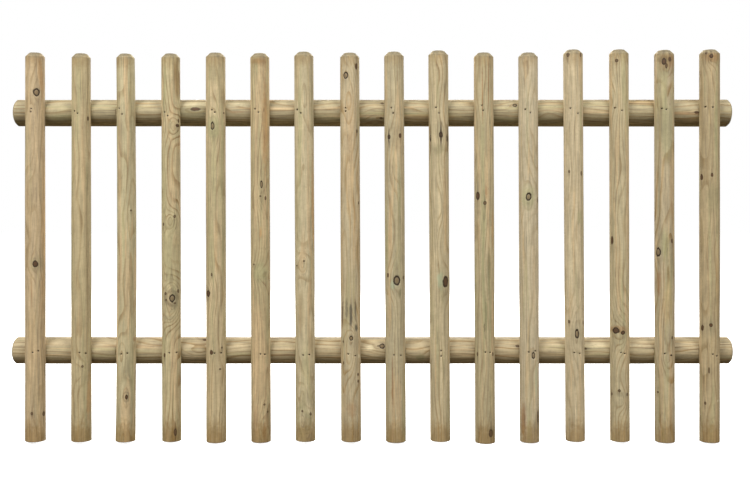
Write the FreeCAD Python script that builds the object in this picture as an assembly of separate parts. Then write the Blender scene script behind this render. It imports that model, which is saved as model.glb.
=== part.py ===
import FreeCAD, Part
import math
import os
from collections import namedtuple

# Picket fence panel of pressure-treated pine: sixteen half-round pales nailed
# to the front of two round rails. Millimetres, +Z up, front face towards -Y.
# x = 0 at mid-length, y = 0 at mid-depth, z = 0 at the lowest foot.

# Driving dimensions
PALE_LENGTH = 985.0            # nominal, foot to top
PALE_DIAMETER = 50.0           # nominal, of the round that is sawn in half
PALE_PITCH = 114.0             # from one pale's axis to the next
PALE_CHAMFER = 10.0            # 45 degree turned edge at the top
RAIL_OVERHANG = 60.0           # outer pale's axis to the rail's end
RAIL_DIAMETER = 68.5           # nominal
RAIL_CHAMFER = 5.0             # 45 degree edge at both ends
LOWER_RAIL_HEIGHT = 227.5      # rail's axis above the lowest foot
UPPER_RAIL_DROP = 147.0        # rail's axis below the nominal top
SEAT_DEPTH = 1.5               # flat milled on the rail under each pale
SEAT_SIDE_CLEARANCE = 0.5      # seat past the pale, each side
NAIL_LENGTH = 60.0             # from the top of the head to the point
NAIL_SHANK_DIAMETER = 2.8
NAIL_HEAD_DIAMETER = 6.0
NAIL_HEAD_THICKNESS = 1.2
NAIL_NECK_LENGTH = 0.8         # cone from the head down to the shank
NAIL_POINT_LENGTH = 4.5
NAIL_SINK = 0.8                # head below the lowest edge of its hole

# How the sawn and turned wood departs from nominal. shift moves a pale along
# the rail, lean turns it in its own plane (degrees, foot towards +X), foot and
# top are heights past nominal, and the last two are diameters past nominal.
# The nails are (across the pale, above the rail's axis) from the crossing.
Pale = namedtuple("Pale", "shift lean foot top top_growth foot_growth upper_nails lower_nails")
PALES = [
    Pale(0.0, 0.06, 4.3, 1.0, -1.0, 2.4, [(-2.0, 4.7), (-3.0, -2.8)], [(1.6, 2.6), (13.9, 5.8)]),
    Pale(2.7, 0.03, 4.5, -1.0, -2.5, 1.7, [(-11.6, -0.8), (-2.8, -7.1)], [(2.3, 2.1), (16.0, -0.4)]),
    Pale(0.8, 0.01, 4.0, -1.5, -3.7, 0.2, [(-11.5, 6.7), (-3.2, -8.8)], [(-5.2, -1.7), (10.3, 0.3)]),
    Pale(2.7, 0.16, 4.5, -1.3, -2.5, -1.2, [(-11.9, -3.3), (-3.2, -12.9)], [(-0.9, 1.6), (15.9, 1.6)]),
    Pale(2.2, 0.12, 2.2, 0.7, -0.3, 1.0, [(-5.9, 1.7), (1.7, -4.6)], [(-0.2, 0.8), (14.9, 0.8)]),
    Pale(1.0, 0.20, 2.7, -0.5, -2.0, 0.2, [(-10.0, 4.7), (-1.2, -4.1)], [(1.6, -1.2), (12.1, -2.9)]),
    Pale(-0.8, 0.27, 5.0, 3.0, -1.1, 0.4, [(-15.8, 3.4), (-6.5, -6.1)], [(-3.5, -4.2), (11.6, -3.4)]),
    Pale(1.3, 0.22, 4.3, 0.5, -1.1, 0.9, [(-10.3, 6.7), (-10.0, -1.3)], [(-5.8, -1.7), (11.8, -6.7)]),
    Pale(0.1, 0.30, 2.7, 3.0, -0.1, 1.2, [(-7.5, 7.2), (-3.3, -6.3)], [(-4.0, -3.7), (13.0, -5.4)]),
    Pale(-1.3, 0.32, 5.0, 6.0, 0.4, 0.9, [(-7.3, 7.9), (-0.3, -6.3)], [(1.7, 7.1), (1.7, -6.7)]),
    Pale(-1.0, 0.24, 0.1, 1.0, -0.4, 0.9, [(-7.3, 13.0), (-4.3, 0.4)], [(-1.1, 3.3), (11.2, 2.1)]),
    Pale(-2.2, 0.24, 2.2, 1.0, -0.4, -0.4, [(-10.5, 3.4), (1.5, -5.3)], [(-4.6, 3.3), (11.7, 5.8)]),
    Pale(-1.4, 0.35, 5.0, 8.5, -0.3, -0.3, [(-11.4, 5.9), (7.4, -7.1)], [(-5.6, 2.1), (8.0, 0.0)]),
    Pale(-0.5, 0.17, 4.5, 8.8, -0.8, 0.0, [(-14.4, 7.2), (1.4, 0.4)], [(-2.6, 2.1), (6.9, -0.4)]),
    Pale(-0.2, 0.12, 2.2, 7.3, 0.2, 1.0, [(-11.8, 5.4), (-1.5, 2.9)], [(-6.3, -0.4), (10.0, -5.4)]),
    Pale(0.0, 0.01, 2.5, 8.5, 1.7, 1.5, [(-16.2, 10.0), (0.1, 8.0)], [(0.1, -1.7), (10.9, -6.7)]),
]

# The rails: height of the axis, length past nominal, and how much thicker the
# right end is than the left.
Rail = namedtuple("Rail", "height growth taper")
RAILS = {
    "rail_upper": Rail(PALE_LENGTH - UPPER_RAIL_DROP, 0.0, 1.8),
    "rail_lower": Rail(LOWER_RAIL_HEIGHT, 5.0, 0.0),
}

# Sizes that follow
rail_length = PALE_PITCH * (len(PALES) - 1) + 2.0 * RAIL_OVERHANG
seat_to_axis = RAIL_DIAMETER / 2.0 - SEAT_DEPTH
widest_pale = PALE_DIAMETER + max(max(pale.top_growth, pale.foot_growth) for pale in PALES)
widest_rail = RAIL_DIAMETER + max(rail.taper for rail in RAILS.values()) / 2.0
depth = widest_pale / 2.0 + seat_to_axis + widest_rail / 2.0
seat_y = widest_pale / 2.0 - depth / 2.0
axis_y = seat_y + seat_to_axis

ACROSS = FreeCAD.Vector(1, 0, 0)
INWARD = FreeCAD.Vector(0, 1, 0)
UP = FreeCAD.Vector(0, 0, 1)
ORIGIN = FreeCAD.Vector(0, 0, 0)


def nominal_x(index):
    """Where a pale's axis is before its own shift."""
    return (index - (len(PALES) - 1) / 2.0) * PALE_PITCH


def axis_x(index, height):
    """Where a leaning pale's axis is at a height."""
    pale = PALES[index]
    drop = PALE_LENGTH / 2.0 - height
    return nominal_x(index) + pale.shift + drop * math.tan(math.radians(pale.lean))


def pale_radius(pale, height):
    """A pale's radius at a height: it tapers evenly from foot to top."""
    rise = (height - pale.foot) / (PALE_LENGTH + pale.top - pale.foot)
    growth = pale.foot_growth + (pale.top_growth - pale.foot_growth) * rise
    return (PALE_DIAMETER + growth) / 2.0


def turned(profile, direction):
    """A solid turned from (radius, along) corners about a line through the origin."""
    corners = [FreeCAD.Vector(radius, 0, along) for radius, along in profile]
    face = Part.Face(Part.makePolygon(corners + corners[:1]))
    solid = face.revolve(ORIGIN, UP, 360)
    solid.Placement = FreeCAD.Placement(ORIGIN, FreeCAD.Rotation(UP, direction))
    return solid


def nail(x, z, head_y, hole_to=None):
    """A nail driven along +Y with its head's top at head_y. With hole_to it is
    the hole that the nail leaves, open as far forward as that."""
    shank = NAIL_SHANK_DIAMETER / 2.0
    head = NAIL_HEAD_DIAMETER / 2.0
    neck = NAIL_HEAD_THICKNESS + NAIL_NECK_LENGTH
    top = 0.0 if hole_to is None else hole_to - head_y
    profile = [
        (0.0, top),
        (head, top),
        (head, NAIL_HEAD_THICKNESS),
        (shank, neck),
        (shank, NAIL_LENGTH - NAIL_POINT_LENGTH),
        (0.0, NAIL_LENGTH),
    ]
    solid = turned(profile, INWARD)
    solid.translate(FreeCAD.Vector(x, head_y, z))
    return solid


def nail_places(index):
    """Each nail of a pale as (x, z, y of the head's top)."""
    pale = PALES[index]
    places = []
    for rail_name, spots in (("rail_upper", pale.upper_nails), ("rail_lower", pale.lower_nails)):
        for across, above in spots:
            z = RAILS[rail_name].height + above
            reach = abs(across) + NAIL_HEAD_DIAMETER / 2.0
            lowest_edge = math.sqrt(pale_radius(pale, z) ** 2 - reach ** 2)
            places.append((axis_x(index, z) + across, z, seat_y - lowest_edge + NAIL_SINK))
    return places


def make_pale(index):
    """A half-round pale: a tapering round, chamfered at the top and sawn flat behind."""
    pale = PALES[index]
    top = PALE_LENGTH + pale.top
    shoulder = top - PALE_CHAMFER
    profile = [
        (0.0, pale.foot),
        (pale_radius(pale, pale.foot), pale.foot),
        (pale_radius(pale, shoulder), shoulder),
        (pale_radius(pale, shoulder) - PALE_CHAMFER, top),
        (0.0, top),
    ]
    whole = turned(profile, UP)
    front_half = Part.makeBox(
        2.0 * widest_pale, widest_pale, top, FreeCAD.Vector(-widest_pale, -widest_pale, 0)
    )
    half = whole.common(front_half)
    middle = FreeCAD.Vector(0, 0, PALE_LENGTH / 2.0)
    half.rotate(middle, INWARD, -pale.lean)
    half.translate(FreeCAD.Vector(nominal_x(index) + pale.shift, seat_y, 0))
    holes = [nail(x, z, head_y, hole_to=seat_y - widest_pale) for x, z, head_y in nail_places(index)]
    return half.cut(holes)


def make_rail(name):
    """A round rail with chamfered ends, a flat seat for each pale and its nails' holes."""
    rail = RAILS[name]
    half_length = (rail_length + rail.growth) / 2.0
    left = RAIL_DIAMETER / 2.0 - rail.taper / 4.0
    right = RAIL_DIAMETER / 2.0 + rail.taper / 4.0
    profile = [
        (0.0, -half_length),
        (left - RAIL_CHAMFER, -half_length),
        (left, -half_length + RAIL_CHAMFER),
        (right, half_length - RAIL_CHAMFER),
        (right - RAIL_CHAMFER, half_length),
        (0.0, half_length),
    ]
    solid = turned(profile, ACROSS)
    solid.translate(FreeCAD.Vector(0, axis_y, rail.height))
    cuts = []
    for index, pale in enumerate(PALES):
        half_width = pale_radius(pale, rail.height) + SEAT_SIDE_CLEARANCE
        corner = FreeCAD.Vector(
            axis_x(index, rail.height) - half_width,
            axis_y - RAIL_DIAMETER,
            rail.height - RAIL_DIAMETER,
        )
        cuts.append(Part.makeBox(2.0 * half_width, seat_y - corner.y, 2.0 * RAIL_DIAMETER, corner))
        cuts.extend(
            nail(x, z, head_y)
            for x, z, head_y in nail_places(index)
            if abs(z - rail.height) < RAIL_DIAMETER / 2.0
        )
    return solid.cut(cuts)


def save(shape, name):
    """Writes one sub-part to parts/NAME.step and says what it holds."""
    shape.exportStep(os.path.join("parts", name + ".step"))
    box = shape.BoundBox
    print(
        f"{name}: {len(shape.Solids)} solids, valid {shape.isValid()}, "
        f"{box.XLength:.1f} x {box.YLength:.1f} x {box.ZLength:.1f}, z from {box.ZMin:.2f}"
    )


os.makedirs("parts", exist_ok=True)
for rail_name in RAILS:
    save(make_rail(rail_name), rail_name)
for number in range(1, len(PALES) + 1):
    save(make_pale(number - 1), f"pale_{number:02d}")
    nails = [nail(x, z, head_y) for x, z, head_y in nail_places(number - 1)]
    save(Part.makeCompound(nails), f"nails_pale_{number:02d}")
print(f"seat y {seat_y:.3f}, rail axis y {axis_y:.3f}, depth {depth:.3f}, rail length {rail_length:.1f}")
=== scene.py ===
"""A picket fence panel of pressure-treated pine, sixteen half-round pales nailed to two round rails.

The wood is drawn as real roundwood is made: growth rings about a pith, fibres that part round each
branch knot, and patches of treatment salt and heartwood that follow the fibres.
"""

import logging
import math
from dataclasses import dataclass, field
from enum import Enum
from functools import partial

import bmesh
import bpy
from bmesh.types import BMEdge, BMesh, BMFace
from bpy.types import Material, Node, NodeSocket, NodeTree, Object
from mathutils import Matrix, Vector, noise


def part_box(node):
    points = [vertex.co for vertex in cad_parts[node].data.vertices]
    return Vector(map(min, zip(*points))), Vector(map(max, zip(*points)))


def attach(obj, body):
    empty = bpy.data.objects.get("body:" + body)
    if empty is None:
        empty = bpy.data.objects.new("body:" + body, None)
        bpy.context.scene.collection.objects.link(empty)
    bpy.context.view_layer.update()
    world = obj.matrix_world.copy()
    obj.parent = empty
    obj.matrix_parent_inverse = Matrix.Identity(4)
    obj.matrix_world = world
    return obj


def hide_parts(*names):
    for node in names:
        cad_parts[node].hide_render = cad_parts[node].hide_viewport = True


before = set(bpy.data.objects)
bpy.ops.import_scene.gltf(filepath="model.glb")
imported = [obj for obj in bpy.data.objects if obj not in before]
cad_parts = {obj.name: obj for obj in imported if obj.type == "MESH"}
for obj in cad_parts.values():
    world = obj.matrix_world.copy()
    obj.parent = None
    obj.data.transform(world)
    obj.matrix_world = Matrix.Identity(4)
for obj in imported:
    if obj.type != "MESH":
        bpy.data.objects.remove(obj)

log = logging.getLogger("fence_panel")
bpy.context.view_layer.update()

MM = 0.001  # one millimetre in metres
SAME = 1e-5  # metres within which two places are one
THIRD_PALE_BOW = 3.0 * MM  # how far the third pale has warped sideways
EASED = {"interpolation_type": "SMOOTHSTEP"}  # a step that starts and ends softly
COLOUR = {"data_type": "RGBA"}  # a mix of colours
Colour = tuple[float, float, float, float]
Plug = float | tuple | NodeSocket | Node


# ------------ small helpers


def linear(hex_colour: str) -> Colour:
    """Turns an sRGB hex colour to linear.

    Args:
        hex_colour: the colour as "#rrggbb".

    Returns:
        Linear red, green and blue with an alpha of 1.
    """
    channels = [int(hex_colour[i:i + 2], 16) / 255 for i in (1, 3, 5)]
    return (*[c / 12.92 if c <= 0.04045 else ((c + 0.055) / 1.055) ** 2.4 for c in channels], 1.0)


def add_node(tree: NodeTree, kind: str, plugs: list | tuple | dict[int | str, Plug] = (), **settings) -> Node:
    """Adds a node with its settings and links.

    Args:
        tree: the node tree that gets the node.
        kind: the node's type without its "ShaderNode" start, and its operation after a dot if it has one.
        plugs: what each input gets, in order or by the input's name or number. It is a value or an
            output to link, and a node stands for its own first output.
        settings: the node's own properties.

    Returns:
        The new node.
    """
    kind, _, operation = kind.partition(".")
    made = tree.nodes.new(kind if kind.startswith("Node") else "ShaderNode" + kind)
    if operation:
        made.operation = operation
    for name, value in settings.items():
        setattr(made, name, value)
    for name, value in plugs.items() if isinstance(plugs, dict) else enumerate(plugs):
        if isinstance(value, (Node, NodeSocket)):
            tree.links.new(value.outputs[0] if isinstance(value, Node) else value, made.inputs[name])
        else:
            made.inputs[name].default_value = value
    return made


def smooth(low: float, high: float, value: float) -> float:
    """Eases from 0 at low to 1 at high.

    Args:
        low: where the step starts.
        high: where it ends, below low for a falling step.
        value: the place on it.

    Returns:
        The step's height, from 0 to 1.
    """
    t = min(1.0, max(0.0, (value - low) / (high - low)))
    return t * t * (3 - 2 * t)


def span(values: list[float]) -> tuple[float, float]:
    """Gives the middle of some values and half their spread."""
    low, high = min(values), max(values)
    return (low + high) / 2, (high - low) / 2


# ------------ what the wood carries


class KnotKind(Enum):
    """How a branch shows: dark rim, brown heart, pale heart, fibres parted, dark tails, rings lifted."""

    RING = (1.00, 0.35, 0.60, 1.0, 0.15, 1.0)  # dead branch, black bark rim round a paler middle
    TIGHT = (0.60, 1.00, 0.00, 0.8, 0.28, 0.8)  # live branch, dark brown and grown in
    EYE = (0.90, 1.00, 0.00, 1.1, 0.25, 1.1)  # live branch, red-brown with a dark edge
    PIN = (0.65, 0.80, 0.00, 0.7, 0.30, 0.7)  # a twig's dark dot
    WHORL = (1.00, 0.95, 0.15, 1.3, 0.95, 1.3)  # large resinous knot, with a spindle of dark resin
    GHOST = (0.00, 0.10, 0.00, 0.55, 0.00, 0.6)  # a knot just under the surface, seen by its fibres
    BURL = (0.00, 0.04, 0.00, 1.70, 0.00, 1.7)  # fibres in swirls over several buds
    RIND = (0.34, 0.00, 0.00, 0.80, 0.00, 1.2)  # bark grown in round a large branch, a loose ring
    DOME = (0.00, 0.00, 0.00, 0.15, 0.00, 1.0)  # rings swollen outwards, cut as nested arches


class Tint(Enum):
    """The colours that patches of the surface take, as (sRGB hex, strength)."""

    SALT = ("#9f9c70", 0.60)  # copper salts of the treatment, green
    MOSS = ("#87815c", 0.65)  # the same where it pooled, darker
    COPPER = ("#b1b896", 0.70)  # a blue-green bloom of salts beside a knot
    GREY = ("#8f8568", 0.55)  # handling dirt and weather; at the pales' tops it paints shade on the chamfer
    STAIN_AND_SHADE = ("#625a48", 0.70)  # blue-stain fungus, dark grey; at the pales' tops it paints shade on the chamfer
    HEART = ("#b98d58", 0.55)  # heartwood, orange-brown
    PINK = ("#c4a77e", 0.55)  # wood just inside the bark, pinkish
    RUST = ("#946a40", 0.65)  # resin-rich, red-brown
    BARK_AND_SHADE = ("#5b4630", 0.75)  # a rest of inner bark; round the nail holes it paints shade
    PALE = ("#d6c8a2", 0.70)  # freshly shaved wood
    SOAK_AND_SHADE = ("#8a6a34", 0.60)  # an end that stood in the treatment and on wet ground; at the foot it also paints contact shade


RING, TIGHT, EYE, PIN, WHORL, GHOST, BURL, RIND, DOME = KnotKind
SALT, MOSS, COPPER, GREY, STAIN_AND_SHADE, HEART, PINK, RUST, BARK_AND_SHADE, PALE, SOAK_AND_SHADE = Tint


@dataclass(frozen=True)
class Knot:
    """A branch stub that reaches the surface, in mm."""

    height: float  # along the stick, from the foot or the left end
    side: float  # across it, from the axis
    width: float
    length: float
    kind: KnotKind


@dataclass(frozen=True)
class Patch:
    """A soft-edged patch of another colour that follows the fibres, in mm."""

    height: float
    side: float
    length: float
    width: float
    tint: Tint
    strength: float = 1.0


@dataclass(frozen=True)
class Grain:
    """How one stick was cut from its tree, in mm."""

    pith: tuple[float, float]  # the tree's middle: across, and in front of the flat back
    tone: str  # spring wood
    green: float  # how much of it is greenish
    pink: float  # how much of it is pinkish
    contrast: float  # how strongly the rings show
    late: str = "#8c7349"  # summer wood
    ring: float = 4.4  # one year's growth
    slant: float = 6.0  # how far the rings run out over a metre
    checks: float = 0.22  # how dark the hairline drying checks are


# ------------ the wood's finish


class KnotGroup:
    """The node group that draws one branch stub and parts the fibres round it."""

    INPUTS = (
        ("Place", "Vector"), ("Shift", "Vector"), ("Bulge", "Float"), ("Rim", "Float"),
        ("Heart", "Float"), ("Pale", "Float"), ("Ragged", "Float"), ("Centre", "Vector"),
        ("Axis", "Vector"), ("Radius", "Float"), ("Stretch", "Float"), ("Kind", "Vector"),
        ("Parting", "Float"), ("Tails", "Float"), ("Lift", "Float"),
    )
    OUTPUTS = INPUTS[1:6]
    STUB = (1.0, 1.0)  # how much narrower and shorter than the stub its own oval is
    FLOW = (0.70, 0.32)  # the same for the oval in which fibres part
    TAILS = (1.3, 0.15)  # the same for the spindle of dark resin above and below it
    RAGGED = 0.65  # how uneven the stub's outline is
    CORE = 0.9  # keeps the parting finite at the stub's middle
    SWELL = 1.1  # how far the rings rise over it, of its radius

    def __init__(self) -> None:
        """Builds the group once, for every stick to use."""
        self.tree = bpy.data.node_groups.new("branch_knot", "ShaderNodeTree")
        for sockets, side in ((self.INPUTS, "INPUT"), (self.OUTPUTS, "OUTPUT")):
            for name, kind in sockets:
                self.tree.interface.new_socket(name, in_out=side, socket_type="NodeSocket" + kind)
        self.wire()

    def wire(self) -> None:
        """Links the group: distance from the branch's line, the parting of fibres, and its colours."""
        add = partial(add_node, self.tree)
        given = add("NodeGroupInput").outputs
        offset = add("VectorMath.SUBTRACT", [given["Place"], given["Centre"]])
        along = add("VectorMath.DOT_PRODUCT", [offset, given["Axis"]]).outputs["Value"]
        on_line = add("VectorMath.SCALE", {0: given["Axis"], "Scale": along})
        across = add("VectorMath.SUBTRACT", [offset, on_line])
        squeeze = add("Math.DIVIDE", [1.0, given["Stretch"]])
        sizes = []
        for wide, tall in (self.STUB, self.FLOW, self.TAILS):
            height = add("Math.MULTIPLY", [squeeze, tall])
            scale = add("CombineXYZ", [wide, wide, height])
            oval = add("VectorMath.MULTIPLY", [across, scale])
            reach = add("VectorMath.LENGTH", [oval]).outputs["Value"]
            sizes.append(add("Math.DIVIDE", [reach, given["Radius"]]))
        wobble = add("Math.MULTIPLY_ADD", [given["Ragged"], self.RAGGED, 1.0])
        q = add("Math.MULTIPLY", [sizes[0], wobble])

        # Fibres flow round the stub like water round a stone, over about three times its height.
        flow_q2 = add("Math.POWER", [sizes[1], 2.0])
        kept = add("Math.ADD", [flow_q2, self.CORE])
        parting = add("Math.DIVIDE", [given["Parting"], kept])
        level = add("VectorMath.MULTIPLY", [across, (1.0, 1.0, 0.0)])
        back = add("Math.MULTIPLY", [parting, -1.0])
        push = add("VectorMath.SCALE", {0: level, "Scale": back})
        shift = add("VectorMath.ADD", [given["Shift"], push])
        rise = add("Math.MULTIPLY", [given["Radius"], given["Lift"]])
        spread = add("Math.DIVIDE", [rise, kept])
        bulge = add("Math.MULTIPLY_ADD", [spread, self.SWELL, given["Bulge"]])

        spindle = add("MapRange", [sizes[2], 1.1, 0.2], **EASED)
        tails = add("Math.MULTIPLY", [spindle, given["Tails"]])
        kind = add("SeparateXYZ", [given["Kind"]]).outputs
        strengths = []
        for name, outer, inner, share in (
            ("Rim", (1.25, 0.98), (0.55, 0.80), kind[0]), ("Heart", (1.25, 0.75), None, kind[1]),
            ("Pale", (0.70, 0.35), None, kind[2]),
        ):
            inside = add("MapRange", [q, *outer], **EASED)
            if inner:
                hollow = add("MapRange", [q, *inner, 0.25, 1.0], **EASED)
                inside = add("Math.MULTIPLY", [inside, hollow])
            weighed = add("Math.MULTIPLY", [inside, share])
            strengths.append(add("Math.MAXIMUM", [weighed, given[name]]))
        strengths[0] = add("Math.MAXIMUM", [strengths[0], tails])
        add("NodeGroupOutput", [shift, bulge, *strengths])


class PatchGroup:
    """The node group that gives how far a point lies inside one soft-edged patch."""

    INPUTS = (("Fibre", "Vector"), ("Ragged", "Float"), ("Centre", "Vector"), ("Size", "Vector"),
              ("Strength", "Float"))
    RAGGED = 0.9  # how torn the patch's edge is, of its size
    EDGE = (1.1, 0.35)  # where it starts and where it is full, of its size

    def __init__(self) -> None:
        """Builds the group once, for every stick to use."""
        self.tree = bpy.data.node_groups.new("soft_patch", "ShaderNodeTree")
        for name, kind in self.INPUTS:
            self.tree.interface.new_socket(name, in_out="INPUT", socket_type="NodeSocket" + kind)
        self.tree.interface.new_socket("Weight", in_out="OUTPUT", socket_type="NodeSocketFloat")
        add = partial(add_node, self.tree)
        given = add("NodeGroupInput").outputs
        offset = add("VectorMath.SUBTRACT", [given["Fibre"], given["Centre"]])
        share = add("VectorMath.DIVIDE", [offset, given["Size"]])
        reach = add("VectorMath.LENGTH", [share]).outputs["Value"]
        torn = add("Math.MULTIPLY_ADD", [given["Ragged"], self.RAGGED, reach])
        inside = add("MapRange", [torn, *self.EDGE], **EASED)
        weight = add("Math.MULTIPLY", [inside, given["Strength"]])
        add("NodeGroupOutput", [weight])


@dataclass(frozen=True)
class StickFrame:
    """Where a stick lies: turns the row frame to the stick's own mm, height along its Z."""

    scale: tuple[float, float, float]
    turn: tuple[float, float, float]
    shift: tuple[float, float, float]


@dataclass
class PineFinish:
    """Pressure-treated pine, machine rounded and left rough.

    The eye reads it as dry softwood: buff and grey-green by turns along the fibres, with soft growth
    rings, darker knots and no shine.
    """

    knot_group: KnotGroup = field(default_factory=KnotGroup)
    patch_group: PatchGroup = field(default_factory=PatchGroup)

    GREEN = "#aaa077"  # copper treatment in sapwood
    PINK = "#c4ab82"  # wood where the treatment didn't take
    RIM = "#322412"  # bark round a dead branch
    HEART = "#61462c"  # resinous branch wood
    STUB = "#8f7650"  # a dead branch's own dry middle
    WANDER = 14.0  # mm that the rings wander in and out along the stick
    RELIEF = 0.35 * MM  # how rough the surface is

    def noise(self, tree: NodeTree, place: Plug, steps: tuple[float, float, float], seed: float,
              detail: float = 2.0) -> Node:
        """Adds noise drawn out along the fibres.

        Args:
            tree: the material's node tree.
            place: the point, in mm.
            steps: the pattern's size across, in depth and along, in mm.
            seed: what sets one stick's pattern apart from another's.
            detail: how many finer octaves it has.

        Returns:
            The noise, about 0.5.
        """
        scale, corner = tuple(1.0 / step for step in steps), (seed, 2.3 * seed, 0.0)
        drawn = add_node(tree, "Mapping", {"Vector": place, "Scale": scale, "Location": corner})
        wave = {"Vector": drawn, "Scale": 1.0, "Detail": detail, "Roughness": 0.55}
        return add_node(tree, "TexNoise", wave)

    def material(self, name: str, frame_of: StickFrame, grain: Grain, knots: list[Knot],
                 patches: list[Patch], radius: float, seed: float) -> Material:
        """Makes the wood of one stick.

        Args:
            name: the stick's name.
            frame_of: where it lies.
            grain: how it was cut from its tree.
            knots: the branch stubs that it shows.
            patches: its patches of other colours.
            radius: the stick's own, in mm.
            seed: what sets its pattern apart.

        Returns:
            The material.
        """
        made = bpy.data.materials.new("treated_pine_rounded_" + name)
        made.use_nodes = True
        tree = made.node_tree
        tree.nodes.clear()
        add = partial(add_node, tree)
        point = add("TexCoord").outputs["Object"]
        place = add("Mapping", {
            "Vector": point, "Location": frame_of.shift, "Rotation": frame_of.turn, "Scale": frame_of.scale,
        })
        torn = self.noise(tree, place, (7.0, 7.0, 11.0), seed + 31.0, 3.0)
        ragged = add("Math.SUBTRACT", [torn, 0.5])
        carried = self.stubs(tree, place, ragged, knots, radius)
        fibre = add("VectorMath.ADD", [place, carried["Shift"]])

        late = self.late_wood(tree, self.years(tree, fibre, carried["Bulge"], grain, seed))
        fine = self.noise(tree, fibre, (1.1, 1.1, 46.0), seed, 4.0)
        streak = self.noise(tree, fibre, (5.5, 5.5, 210.0), seed + 7.0, 3.0)
        broad = self.noise(tree, fibre, (15.0, 15.0, 330.0), seed + 13.0)
        other = self.noise(tree, fibre, (12.0, 12.0, 260.0), seed + 19.0)
        mottle = self.noise(tree, place, (16.0, 16.0, 34.0), seed + 23.0, 4.0)
        ripple = self.noise(tree, place, (10.0, 10.0, 5.0), seed + 41.0, 3.0)
        fleck = self.noise(tree, fibre, (2.4, 2.4, 16.0), seed + 47.0)
        hair = self.noise(tree, fibre, (2.0, 2.0, 75.0), seed + 53.0, 1.0)

        shown = add("MapRange", [other, 0.36, 0.64, 0.7 * grain.contrast, 2.0 * grain.contrast])
        layers: list[tuple[Plug, str]] = [(add("Math.MULTIPLY", [late, shown]), grain.late)]
        for value, amount, colour in ((broad, grain.green, self.GREEN), (other, grain.pink, self.PINK)):
            edges = (0.62 - 0.2 * amount, 0.86 - 0.3 * amount)
            layers.append((add("MapRange", [value, *edges, 0.0, 0.8], **EASED), colour))
        for patch in patches:
            tint, strength = patch.tint.value
            front = math.sqrt(max(0.02, 1.0 - (patch.side / radius) ** 2))
            inside = add("Group", {
                "Fibre": fibre, "Ragged": ragged, "Centre": (patch.side, -radius * front, patch.height),
                "Size": (patch.width / 2, radius, patch.length / 2), "Strength": strength * patch.strength,
            }, node_tree=self.patch_group.tree)
            layers.append((inside, tint))
        base: Plug = linear(grain.tone)
        for share, colour in layers:
            base = add("Mix", {0: share, 6: base, 7: linear(colour)}, **COLOUR).outputs[2]

        # Light and dark streaks along the fibres, then blotches, each a plain multiplier about 1.
        for value, low, high, dark, light in (
            (streak, 0.3, 0.7, 0.84, 1.16), (fine, 0.28, 0.72, 0.9, 1.11), (mottle, 0.3, 0.7, 0.91, 1.09),
            (ripple, 0.3, 0.7, 0.95, 1.05), (fleck, 0.28, 0.4, 0.8, 1.0),
            (hair, 0.56, 0.68, 1.0, 1.0 - grain.checks),
        ):
            shade = add("MapRange", [value, low, high, dark, light])
            base = add("VectorMath.SCALE", {0: base, "Scale": shade})
        for key, colour in (("Heart", self.HEART), ("Pale", self.STUB), ("Rim", self.RIM)):
            base = add("Mix", {0: carried[key], 6: base, 7: linear(colour)}, **COLOUR).outputs[2]

        relief = fine
        for value, weight in ((late, 0.35), (mottle, 0.8), (carried["Rim"], -0.9)):
            relief = add("Math.MULTIPLY_ADD", [value, weight, relief])
        shader = add("BsdfPrincipled", {
            "Base Color": base, "Roughness": add("MapRange", [fine, 0.2, 0.8, 0.78, 0.60]),
            "Normal": add("Bump", {"Height": relief, "Strength": 0.55, "Distance": self.RELIEF}),
            "IOR": 1.5, "Specular IOR Level": 0.4,
        })
        add("OutputMaterial", {"Surface": shader})
        return made

    def stubs(self, tree: NodeTree, place: Plug, ragged: Plug, knots: list[Knot],
              radius: float) -> dict[str, Plug]:
        """Chains the stick's knots, each adding to what the last ones gave.

        Args:
            tree: the material's node tree.
            place: the point, in mm.
            ragged: noise that makes outlines uneven, about 0.
            knots: the branch stubs.
            radius: the stick's own, in mm.

        Returns:
            How far the fibres shift and the rings bulge there, and how strongly each knot colour shows.
        """
        carried: dict[str, Plug] = {"Shift": (0.0,) * 3, "Bulge": 0.0, "Rim": 0.0, "Heart": 0.0, "Pale": 0.0}
        for knot in knots:
            front = math.sqrt(max(0.05, 1.0 - (knot.side / radius) ** 2))
            rim, heart, pale, parting, tails, lift = knot.kind.value
            stub = add_node(tree, "Group", {
                **carried, "Place": place, "Ragged": ragged,
                "Centre": (knot.side, -radius * front, knot.height),
                "Axis": (knot.side / radius, -front, 0.0),
                "Radius": knot.width / 2, "Stretch": knot.length / knot.width,
                "Kind": (rim, heart, pale), "Parting": parting, "Tails": tails, "Lift": lift,
            }, node_tree=self.knot_group.tree)
            carried = {key: stub.outputs[key] for key in carried}
        return carried

    def years(self, tree: NodeTree, fibre: Plug, bulge: Plug, grain: Grain, seed: float) -> Node:
        """Counts the growth rings out to a point.

        Args:
            tree: the material's node tree.
            fibre: the point, as it was before branches parted the fibres.
            bulge: how far a branch lifts the rings there, in mm.
            grain: how the stick was cut.
            seed: what sets its pattern apart.

        Returns:
            The years.
        """
        add = partial(add_node, tree)
        across, depth = grain.pith
        offset = add("VectorMath.SUBTRACT", [fibre, (across, -depth, 0.0)])
        level = add("VectorMath.MULTIPLY", [offset, (1.0, 1.0, 0.0)])
        reach = add("VectorMath.LENGTH", [level]).outputs["Value"]
        height = add("SeparateXYZ", [fibre]).outputs[2]
        slanted = add("Math.MULTIPLY_ADD", [height, grain.slant / 1000.0, reach])
        wander = self.noise(tree, fibre, (26.0, 26.0, 150.0), seed + 3.0, 0.5)
        wandered = add("Math.MULTIPLY_ADD", [wander, self.WANDER, slanted])
        lifted = add("Math.SUBTRACT", [wandered, bulge])
        return add("Math.DIVIDE", [lifted, grain.ring])

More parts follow.
